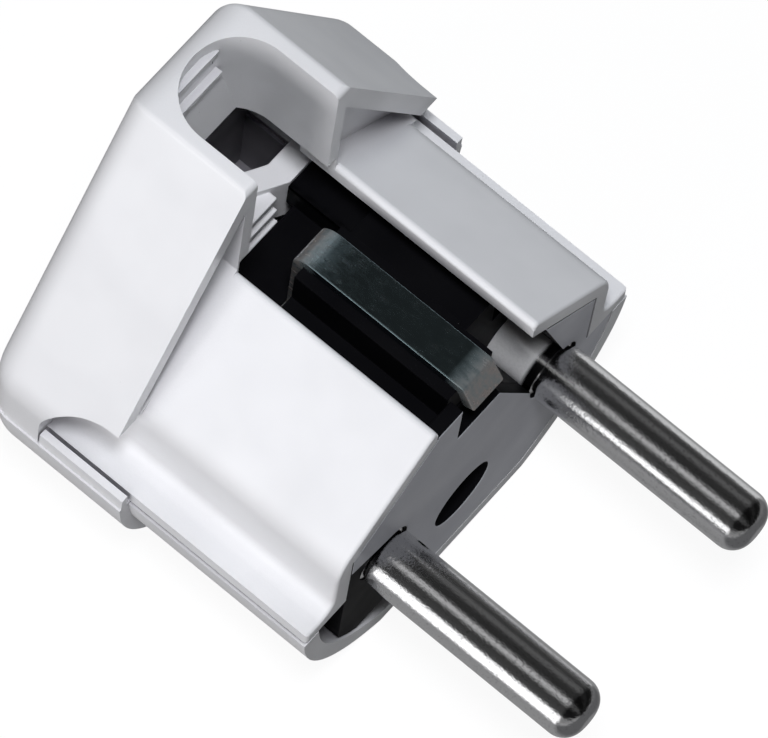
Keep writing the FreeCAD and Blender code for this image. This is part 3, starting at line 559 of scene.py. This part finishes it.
@dataclass
class SoftenedCopy:
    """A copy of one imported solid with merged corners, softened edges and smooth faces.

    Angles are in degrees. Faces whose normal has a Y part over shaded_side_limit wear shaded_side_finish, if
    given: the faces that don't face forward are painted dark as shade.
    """

    node: str
    finish: MouldedPlastic | PlatedMetal
    edge: float = 0.12 * MM
    crease: float = 28.0
    flat: float = 0.3
    merge: float = 0.002 * MM
    shaded_side_finish: MouldedPlastic | None = None
    shaded_side_limit: float = -0.5

    def build(self, source: bpy.types.Object, wardrobe: Wardrobe) -> bpy.types.Object:
        """Make the copy stand for its node.

        Args:
            source: The node's object.
            wardrobe: The materials to dress it with.

        Returns:
            The new piece.
        """
        mesh = self._merged(source.data)
        piece = bpy.data.objects.new(f"{self.node}_skin", mesh)
        bpy.context.scene.collection.objects.link(piece)
        if self.edge > 0.0:
            self._soften(piece)
        piece.data.materials.clear()
        piece.data.materials.append(wardrobe.material(self.finish))
        # Painted shade: faces that don't face forward, such as the walls of the plate's gaps, notch and hole,
        # wear a dark finish.
        if self.shaded_side_finish is not None:
            piece.data.materials.append(wardrobe.material(self.shaded_side_finish))
            for face in piece.data.polygons:
                face.material_index = int(face.normal.y > self.shaded_side_limit)
        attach(piece, ROOT_BODY)
        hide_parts(self.node)
        return piece

    def _merged(self, source: bpy.types.Mesh) -> bpy.types.Mesh:
        """Merge the loose triangles of a mesh and mark its creases.

        Args:
            source: The node's mesh, which stays as it is.

        Returns:
            A new mesh.
        """
        work = bmesh.new()
        work.from_mesh(source)
        bmesh.ops.remove_doubles(work, verts=work.verts, dist=self.merge)
        bmesh.ops.dissolve_limit(
            work, angle_limit=math.radians(self.flat), verts=work.verts, edges=work.edges, delimit={"NORMAL"}
        )
        for face in work.faces:
            face.smooth = True
        for edge in work.edges:
            edge.smooth = edge.is_manifold and edge.calc_face_angle(0.0) < math.radians(self.crease)
        mesh = bpy.data.meshes.new(f"{self.node}_skin")
        work.to_mesh(mesh)
        work.free()
        return mesh

    def _soften(self, piece: bpy.types.Object) -> None:
        """Round the creases with a small bevel and keep the result as a plain mesh.

        Args:
            piece: The piece to soften.
        """
        bevel = piece.modifiers.new("Edges", "BEVEL")
        bevel.width = self.edge
        bevel.segments = BEVEL_SEGMENTS
        bevel.limit_method = "ANGLE"
        bevel.angle_limit = math.radians(self.crease)
        bevel.harden_normals = True
        bevel.use_clamp_overlap = True
        keep_evaluated(piece)


def keep_evaluated(piece: bpy.types.Object) -> None:
    """Turn a piece's modifiers into a plain mesh.

    Args:
        piece: The piece, which loses its modifiers.
    """
    depsgraph = bpy.context.evaluated_depsgraph_get()
    mesh = bpy.data.meshes.new_from_object(piece.evaluated_get(depsgraph))
    piece.modifiers.clear()
    piece.data = mesh


@dataclass
class PlugBody:
    """Every piece of the plug: the softened copies and the small pieces that have no solid."""

    copies: list[SoftenedCopy] = field(default_factory=lambda: [
        SoftenedCopy("upper_housing", WHITE_SHELL, 0.22 * MM),
        SoftenedCopy("lower_housing", WHITE_SHELL, 0.22 * MM),
        # The front plate's gap walls and edges are painted black as shade.
        SoftenedCopy("front_plate", INSERT_WITH_PAINTED_SHADE, shaded_side_finish=CARRIER_BLACK_AND_SHADE),
        SoftenedCopy("cable_clamp", CLAMP_WITH_PAINTED_LIGHT),
        SoftenedCopy("contact_carrier", CARRIER_BLACK_AND_SHADE),
        SoftenedCopy("left_pin", BRIGHT_PIN, 0.0),
        SoftenedCopy("right_pin", BRIGHT_PIN, 0.0),
        SoftenedCopy("earth_bow", PLATED_STRIP),
        SoftenedCopy("earth_terminal_washer", PLATED_STRIP),
        SoftenedCopy("left_terminal_screw", ZINC_SCREW),
        SoftenedCopy("right_terminal_screw", ZINC_SCREW),
        SoftenedCopy("earth_terminal_screw", ZINC_SCREW),
        SoftenedCopy("left_clamp_screw", ZINC_SCREW),
        SoftenedCopy("right_clamp_screw", ZINC_SCREW),
        SoftenedCopy("housing_screw", ZINC_SCREW),
    ])

    def build(self, nodes: dict[str, bpy.types.Object], wardrobe: Wardrobe) -> list[bpy.types.Object]:
        """Build and dress all pieces.

        Args:
            nodes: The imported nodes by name.
            wardrobe: The materials to dress them with.

        Returns:
            The new pieces.
        """
        pieces = [copy.build(nodes[copy.node], wardrobe) for copy in self.copies]
        pieces.append(ClampRidges().build(wardrobe.material(CLAMP_WITH_PAINTED_LIGHT)))
        pieces.append(CarrierApron().build(wardrobe.material(CARRIER_BLACK_AND_SHADE)))
        pieces.append(ThroatShadeSheets().build(wardrobe.material(SHADE_LINING)))
        pieces.append(GateLiner().build(wardrobe.material(CARRIER_BLACK_AND_SHADE)))
        for piece in pieces:
            LOG.info("%s: %d faces", piece.name, len(piece.data.polygons))
        return pieces


@dataclass(frozen=True)
class ClampRidges:
    """Short ledges in the hollow front of the cable clamp, which bite into the cable's sheath."""

    count: int = 3
    pitch: float = 1.85 * MM
    advance: float = 0.17 * MM
    bar: Point = (7.0 * MM, 2.3 * MM, 0.7 * MM)
    start: Point = (0.0, 22.8 * MM, 7.95 * MM)
    edge: float = 0.1 * MM

    def build(self, material: bpy.types.Material) -> bpy.types.Object:
        """Make the ledges as one piece.

        Args:
            material: The finish of the clamp.

        Returns:
            The new piece.
        """
        piece = bpy.data.objects.new("clamp_ridges", bpy.data.meshes.new("clamp_ridges"))
        bpy.context.scene.collection.objects.link(piece)
        tree = self._tree()
        rows = piece.modifiers.new("Rows", "NODES")
        rows.node_group = tree
        given = {
            "Count": self.count, "Pitch": self.pitch, "Advance": self.advance, "Bar": self.bar,
            "Start": self.start, "Finish": material,
        }
        for item in tree.interface.items_tree:
            if item.in_out == "INPUT" and item.name in given:
                rows[item.identifier] = given[item.name]
        bevel = piece.modifiers.new("Edges", "BEVEL")
        bevel.width = self.edge
        bevel.segments = BEVEL_SEGMENTS
        keep_evaluated(piece)
        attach(piece, ROOT_BODY)
        return piece

    @staticmethod
    def _tree() -> bpy.types.NodeTree:
        """Build the row of ledges: a line of points downwards with a bar on each.

        Returns:
            The Geometry Nodes group.
        """
        tree = bpy.data.node_groups.new("Ledge_Row", "GeometryNodeTree")
        kinds = (
            ("Count", "NodeSocketInt"), ("Pitch", "NodeSocketFloat"), ("Advance", "NodeSocketFloat"),
            ("Bar", "NodeSocketVector"), ("Start", "NodeSocketVector"), ("Finish", "NodeSocketMaterial"),
        )
        for label, kind in kinds:
            tree.interface.new_socket(label, in_out="INPUT", socket_type=kind)
        tree.interface.new_socket("Geometry", in_out="OUTPUT", socket_type="NodeSocketGeometry")
        draft = NodeDraft(tree)
        given, result = draft.add("NodeGroupInput"), draft.add("NodeGroupOutput")
        step = draft.add("ShaderNodeCombineXYZ")
        draft.join(draft.math("MULTIPLY", given.outputs["Advance"], -1.0), step.inputs["Y"])
        draft.join(draft.math("MULTIPLY", given.outputs["Pitch"], -1.0), step.inputs["Z"])
        row = draft.add("GeometryNodeMeshLine", mode="OFFSET")
        draft.join(given.outputs["Count"], row.inputs["Count"])
        draft.join(given.outputs["Start"], row.inputs["Start Location"])
        draft.join(step.outputs["Vector"], row.inputs["Offset"])
        bar = draft.add("GeometryNodeMeshCube")
        draft.join(given.outputs["Bar"], bar.inputs["Size"])
        placed = draft.add("GeometryNodeInstanceOnPoints")
        draft.join(row.outputs["Mesh"], placed.inputs["Points"])
        draft.join(bar.outputs["Mesh"], placed.inputs["Instance"])
        real = draft.add("GeometryNodeRealizeInstances")
        draft.join(placed.outputs["Instances"], real.inputs["Geometry"])
        dressed = draft.add("GeometryNodeSetMaterial")
        draft.join(real.outputs["Geometry"], dressed.inputs["Geometry"])
        draft.join(given.outputs["Finish"], dressed.inputs["Material"])
        draft.join(dressed.outputs["Geometry"], result.inputs["Geometry"])
        return tree


def new_piece(name: str, mesh: bpy.types.Mesh, material: bpy.types.Material) -> bpy.types.Object:
    """Put a mesh in the scene as a piece of the plug.

    Args:
        name: The piece's name.
        mesh: Its shape.
        material: The finish.

    Returns:
        The new piece.
    """
    mesh.materials.append(material)
    piece = bpy.data.objects.new(name, mesh)
    bpy.context.scene.collection.objects.link(piece)
    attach(piece, ROOT_BODY)
    return piece


def sheet_piece(name: str, boxes: list[Box], material: bpy.types.Material) -> bpy.types.Object:
    """Make one piece of several flat boxes.

    Args:
        name: The piece's name.
        boxes: Two opposite corners of each box.
        material: The finish.

    Returns:
        The new piece.
    """
    work = bmesh.new()
    for first, second in boxes:
        low, high = Vector(first), Vector(second)
        size = high - low
        stretch = Matrix.Diagonal((abs(size.x), abs(size.y), abs(size.z), 1.0))
        bmesh.ops.create_cube(work, size=1.0, matrix=Matrix.Translation((low + high) / 2.0) @ stretch)
    mesh = bpy.data.meshes.new(name)
    work.to_mesh(mesh)
    work.free()
    return new_piece(name, mesh, material)


@dataclass(frozen=True)
class CarrierApron:
    """Black apron of the carrier in front of the cable clamp, with a sunken middle under the cable."""

    front: float = 15.7 * MM
    back: float = 21.45 * MM
    half_width: float = 10.2 * MM
    top: float = 9.2 * MM
    sheet: float = 0.4 * MM
    well_half_width: float = 4.4 * MM
    well_floor: float = 6.7 * MM
    well_front: float = 16.5 * MM
    well_back: float = 20.8 * MM

    def build(self, material: bpy.types.Material) -> bpy.types.Object:
        """Make the apron.

        Args:
            material: The finish of the carrier.

        Returns:
            The new piece.
        """
        wall = self.well_half_width + self.sheet
        under = self.well_floor - self.sheet
        boxes = [((-wall, self.well_front, under), (wall, self.well_back, self.well_floor))]
        for side in (-1.0, 1.0):
            inner, outer = side * self.well_half_width, side * self.half_width
            boxes.append(((inner, self.front, self.top - self.sheet), (outer, self.back, self.top)))
            boxes.append(((inner, self.front, under), (side * wall, self.back, self.top)))
        return sheet_piece("carrier_apron", boxes, material)


@dataclass(frozen=True)
class ThroatShadeSheets:
    """Dark sheets in the hollow behind the cable clamp, which paint the shade of that hollow."""

    half_width: float = 7.0 * MM
    front: float = 23.85 * MM
    back: float = 27.7 * MM
    floor: float = 0.5 * MM
    side_top: float = 8.8 * MM
    back_top: float = 12.4 * MM
    sheet: float = 0.3 * MM

    def build(self, material: bpy.types.Material) -> bpy.types.Object:
        """Make the sheets of painted shade.

        Args:
            material: The dark finish that paints the shade.

        Returns:
            The new piece.
        """
        half = self.half_width
        inner_back = self.back - self.sheet
        boxes = [
            ((-half, inner_back, self.floor), (half, self.back, self.back_top)),
            ((-half, self.front, self.floor), (half, inner_back, self.floor + self.sheet)),
        ]
        for side in (-1.0, 1.0):
            inner, outer = side * (half - self.sheet), side * half
            boxes.append(((inner, self.front, self.floor), (outer, inner_back, self.side_top)))
        return sheet_piece("throat_painted_shade", boxes, material)


@dataclass(frozen=True)
class GateLiner:
    """Black sheet of the carrier round the left pin, which closes the gap beside the front plate."""

    centre: PlanePoint = (-9.5 * MM, 0.0)
    hole: float = 2.46 * MM
    front: float = 0.15 * MM
    back: float = 1.6 * MM
    left: float = 13.5 * MM
    right: float = 6.5 * MM
    top: float = 5.0 * MM
    bottom: float = 12.0 * MM
    body: float = 16.4 * MM
    steps: int = 96
    halvings: int = 40

    def build(self, material: bpy.types.Material) -> bpy.types.Object:
        """Make the sheet as a closed ring round the pin.

        Args:
            material: The finish of the carrier.

        Returns:
            The new piece.
        """
        work = bmesh.new()
        rings = []
        for index in range(self.steps):
            turn = math.tau * index / self.steps
            way = (math.cos(turn), math.sin(turn))
            reach = self._reach(way)
            section = (
                (self.hole, self.front), (reach, self.front), (reach, self.back), (self.hole, self.back),
            )
            rings.append([
                work.verts.new((self.centre[0] + way[0] * out, depth, self.centre[1] + way[1] * out))
                for out, depth in section
            ])
        for index, ring in enumerate(rings):
            other = rings[(index + 1) % self.steps]
            for corner in range(len(ring)):
                ahead = (corner + 1) % len(ring)
                work.faces.new((ring[corner], other[corner], other[ahead], ring[ahead]))
        bmesh.ops.recalc_face_normals(work, faces=work.faces)
        mesh = bpy.data.meshes.new("gate_liner")
        work.to_mesh(mesh)
        work.free()
        return new_piece("gate_liner", mesh, material)

    def _reach(self, way: PlanePoint) -> float:
        """Find how far the sheet goes from the pin in one direction.

        Args:
            way: The direction as X and Z parts of a unit vector.

        Returns:
            The distance from the pin's axis to the sheet's edge.
        """
        low, high = self.hole, 2.0 * self.body
        for _ in range(self.halvings):
            middle = (low + high) / 2.0
            x, z = self.centre[0] + way[0] * middle, self.centre[1] + way[1] * middle
            inside = math.hypot(x, z) < self.body and -self.left < x < -self.right
            if inside and -self.bottom < z < self.top:
                low = middle
            else:
                high = middle
        return low


@dataclass(frozen=True)
class Lamp:
    """A square lamp that faces the plug and stays out of its reflections."""

    name: str
    place: Point
    size: float
    power: float
    tint: Colour

    def hang(self) -> None:
        """Put the lamp in the scene."""
        lamp = bpy.data.lights.new(self.name, "AREA")
        lamp.color = self.tint
        lamp.shape = "SQUARE"
        lamp.size = self.size
        lamp.energy = self.power
        holder = bpy.data.objects.new(self.name, lamp)
        holder.location = self.place
        holder.rotation_euler = (-Vector(self.place)).to_track_quat("-Z", "Y").to_euler()
        holder.visible_glossy = False
        bpy.context.scene.collection.objects.link(holder)


LAMPS = (
    Lamp("Key", (-0.87, 0.02, 0.2), 0.4, 3.5, (1.0, 0.985, 1.0)),
    Lamp("Top", (-0.19, -0.1, 0.88), 0.16, 5.6, (0.955, 0.965, 1.0)),
    Lamp("Fill", (0.8, -0.02, 0.39), 0.4, 0.8, (0.78, 0.88, 1.0)),
)

# What bright metal mirrors: angle from straight up in degrees, left negative, and brightness.
ROOM = (
    (-180.0, 1.5), (-73.0, 1.5), (-63.0, 0.06), (-30.0, 0.04), (-19.0, 0.34), (-11.0, 0.52), (-3.0, 0.12),
    (6.0, 0.025), (30.0, 0.03), (42.0, 0.1), (52.0, 0.1), (62.0, 0.04), (76.0, 0.05), (88.0, 0.14),
    (180.0, 0.14),
)
ROOM_PEAK = max(light for _, light in ROOM)


@dataclass
class Studio:
    """Floor, background, lamps and camera.

    What the floor shows in mirrors depends on where a ray meets it: glow_edge and right_edge are spans of X,
    ahead_edge is a span of Y. ahead_sky does the same for the sky, as a span of the ray's direction along Y.
    """

    floor_level: float
    floor_half: float = 3.0
    floor_tone: float = 0.2
    floor_roughness: float = 0.9
    shadow_share: float = 0.5
    floor_glow: float = 1.84
    mirrored_glow: Span = (3.0, 0.4)
    glow_edge: Span = (-0.1, -0.068)
    right_glow: float = 0.7
    right_edge: Span = (0.03, 0.06)
    ahead_edge: Span = (-0.026, -0.019)
    ahead_sky: Span = (-0.3, 0.0)
    ahead_share: float = 0.15
    ambient: float = 0.09
    camera_place: Point = (-0.20216, -0.10885, 0.57367)
    camera_right: Point = (0.6419, -0.7636, 0.0707)
    camera_up: Point = (0.693, 0.617, 0.3729)
    camera_reach: Span = (0.01, 20.0)
    lens: float = 404.1
    sensor_width: float = 36.0

    def build(self) -> None:
        """Set the whole stage."""
        self._floor()
        self._world()
        for lamp in LAMPS:
            lamp.hang()
        self._camera()
        bpy.context.scene.view_settings.view_transform = "Standard"

    @staticmethod
    def _rays(draft: NodeDraft) -> tuple[Socket, Socket]:
        """Add masks for direct sight and for mirrored sight.

        Args:
            draft: The tree being built.

        Returns:
            The mask of camera and transmission rays, and the mask of glossy rays.
        """
        rays = draft.add("ShaderNodeLightPath")
        direct = draft.math("MAXIMUM", rays.outputs["Is Camera Ray"], rays.outputs["Is Transmission Ray"])
        mirrored = draft.math("SUBTRACT", rays.outputs["Is Glossy Ray"], direct)
        return direct, draft.math("MAXIMUM", mirrored, 0.0)

    def _floor(self) -> None:
        """Lay a pale floor that looks white, keeps a faint shadow and in mirrors shows painted light: bright
        on the left, where the key light falls, and dim under the plug, where its shadow falls.
        """
        mesh = bpy.data.meshes.new("studio_floor")
        half, level, tone = self.floor_half, self.floor_level, self.floor_tone
        corners = [(-half, -half, level), (half, -half, level), (half, half, level), (-half, half, level)]
        mesh.from_pydata(corners, [], [(0, 1, 2, 3)])
        floor = bpy.data.objects.new("studio_floor", mesh)
        bpy.context.scene.collection.objects.link(floor)
        draft = FinishDraft("Studio_Floor")
        draft.shader.inputs["Base Color"].default_value = (tone, tone, tone, 1.0)
        draft.shader.inputs["Roughness"].default_value = self.floor_roughness
        draft.shader.inputs["Specular IOR Level"].default_value = 0.0
        direct, mirrored = self._rays(draft)
        place = draft.add("ShaderNodeTexCoord")
        split = draft.add("ShaderNodeSeparateXYZ")
        draft.join(place.outputs["Object"], split.inputs["Vector"])
        # Painted light and shadow in mirrors: the glow for glossy rays is bright on the left, weaker on the
        # right, dim under the plug as painted shadow, and dimmer ahead of it.
        leftward = draft.remap(split.outputs["X"], *self.glow_edge, *self.mirrored_glow)
        rightward = draft.remap(split.outputs["X"], *self.right_edge, 0.0, self.right_glow)
        ahead = draft.remap(split.outputs["Y"], *self.ahead_edge, self.ahead_share, 1.0)
        sideward = draft.math("MULTIPLY", draft.math("ADD", leftward, rightward), ahead)
        glow = draft.add("ShaderNodeEmission")
        shown = draft.math("MULTIPLY", direct, self.floor_glow)
        reflected = draft.math("MULTIPLY", mirrored, sideward)
        draft.join(draft.math("ADD", shown, reflected), glow.inputs["Strength"])
        mix = draft.add("ShaderNodeMixShader")
        either = draft.math("ADD", direct, mirrored)
        draft.join(draft.math("MULTIPLY", either, 1.0 - self.shadow_share), mix.inputs["Fac"])
        draft.join(draft.shader.outputs["BSDF"], mix.inputs[1])
        draft.join(glow.outputs["Emission"], mix.inputs[2])
        draft.join(mix.outputs["Shader"], draft.output.inputs["Surface"])
        mesh.materials.append(draft.material)
        floor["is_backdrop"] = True

    def _world(self) -> None:
        """Make a white surround, a weak even sky as light, and a dark room with a bright left in mirrors."""
        world = bpy.data.worlds.new("Studio_World")
        bpy.context.scene.world = world
        world.use_nodes = True
        draft = NodeDraft(world.node_tree)
        draft.tree.nodes.clear()
        direct, mirrored = self._rays(draft)
        place = draft.add("ShaderNodeTexCoord")
        split = draft.add("ShaderNodeSeparateXYZ")
        draft.join(place.outputs["Generated"], split.inputs["Vector"])
        turn = draft.math("ARCTAN2", split.outputs["X"], split.outputs["Z"])
        ramp = draft.add("ShaderNodeValToRGB")
        draft.join(draft.remap(turn, -math.pi, math.pi, 0.0, 1.0), ramp.inputs["Fac"])
        self._fill_ramp(ramp.color_ramp)
        ahead = draft.remap(split.outputs["Y"], *self.ahead_sky, self.ahead_share, 1.0)
        around = draft.math("MULTIPLY", ramp.outputs["Color"], ROOM_PEAK)
        room = draft.math("MULTIPLY", around, ahead)
        unseen = draft.math("SUBTRACT", 1.0, draft.math("ADD", direct, mirrored))
        value = draft.math("ADD", direct, draft.math("MULTIPLY", mirrored, room))
        value = draft.math("ADD", value, draft.math("MULTIPLY", unseen, self.ambient))
        surround = draft.add("ShaderNodeBackground")
        draft.join(value, surround.inputs["Color"])
        output = draft.add("ShaderNodeOutputWorld")
        draft.join(surround.outputs["Background"], output.inputs["Surface"])

    @staticmethod
    def _fill_ramp(ramp: bpy.types.ColorRamp) -> None:
        """Write the room's brightness round the plug into a ramp.

        Args:
            ramp: The ramp to fill, with angles from -180 to 180 degrees along it.
        """
        while len(ramp.elements) < len(ROOM):
            ramp.elements.new(0.5)
        for stop, (angle, light) in zip(ramp.elements, ROOM):
            stop.position = (angle + 180.0) / 360.0
            share = light / ROOM_PEAK
            stop.color = (share, share, share, 1.0)

    def _camera(self) -> None:
        """Place the camera at the photograph's viewing angle."""
        right = Vector(self.camera_right).normalized()
        up = Vector(self.camera_up)
        up = (up - right * up.dot(right)).normalized()
        back = right.cross(up)
        turn = Matrix((right, up, back)).transposed().to_4x4()
        camera = bpy.data.cameras.new("Photo_Camera")
        camera.sensor_fit = "HORIZONTAL"
        camera.sensor_width = self.sensor_width
        camera.lens = self.lens
        camera.clip_start, camera.clip_end = self.camera_reach
        holder = bpy.data.objects.new("Photo_Camera", camera)
        holder.matrix_world = Matrix.Translation(Vector(self.camera_place)) @ turn
        bpy.context.scene.collection.objects.link(holder)
        bpy.context.scene.camera = holder


def main() -> None:
    """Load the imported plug, dress it and set the stage."""
    logging.basicConfig(level=logging.INFO, format="%(name)s: %(message)s")
    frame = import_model()
    solid_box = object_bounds()
    pieces = PlugBody().build(frame["nodes"], Wardrobe())
    LOG.info("%d pieces", len(pieces))
    Studio(floor_level=solid_box[0].z - FLOOR_GAP).build()


if __name__ == "__main__":
    main()
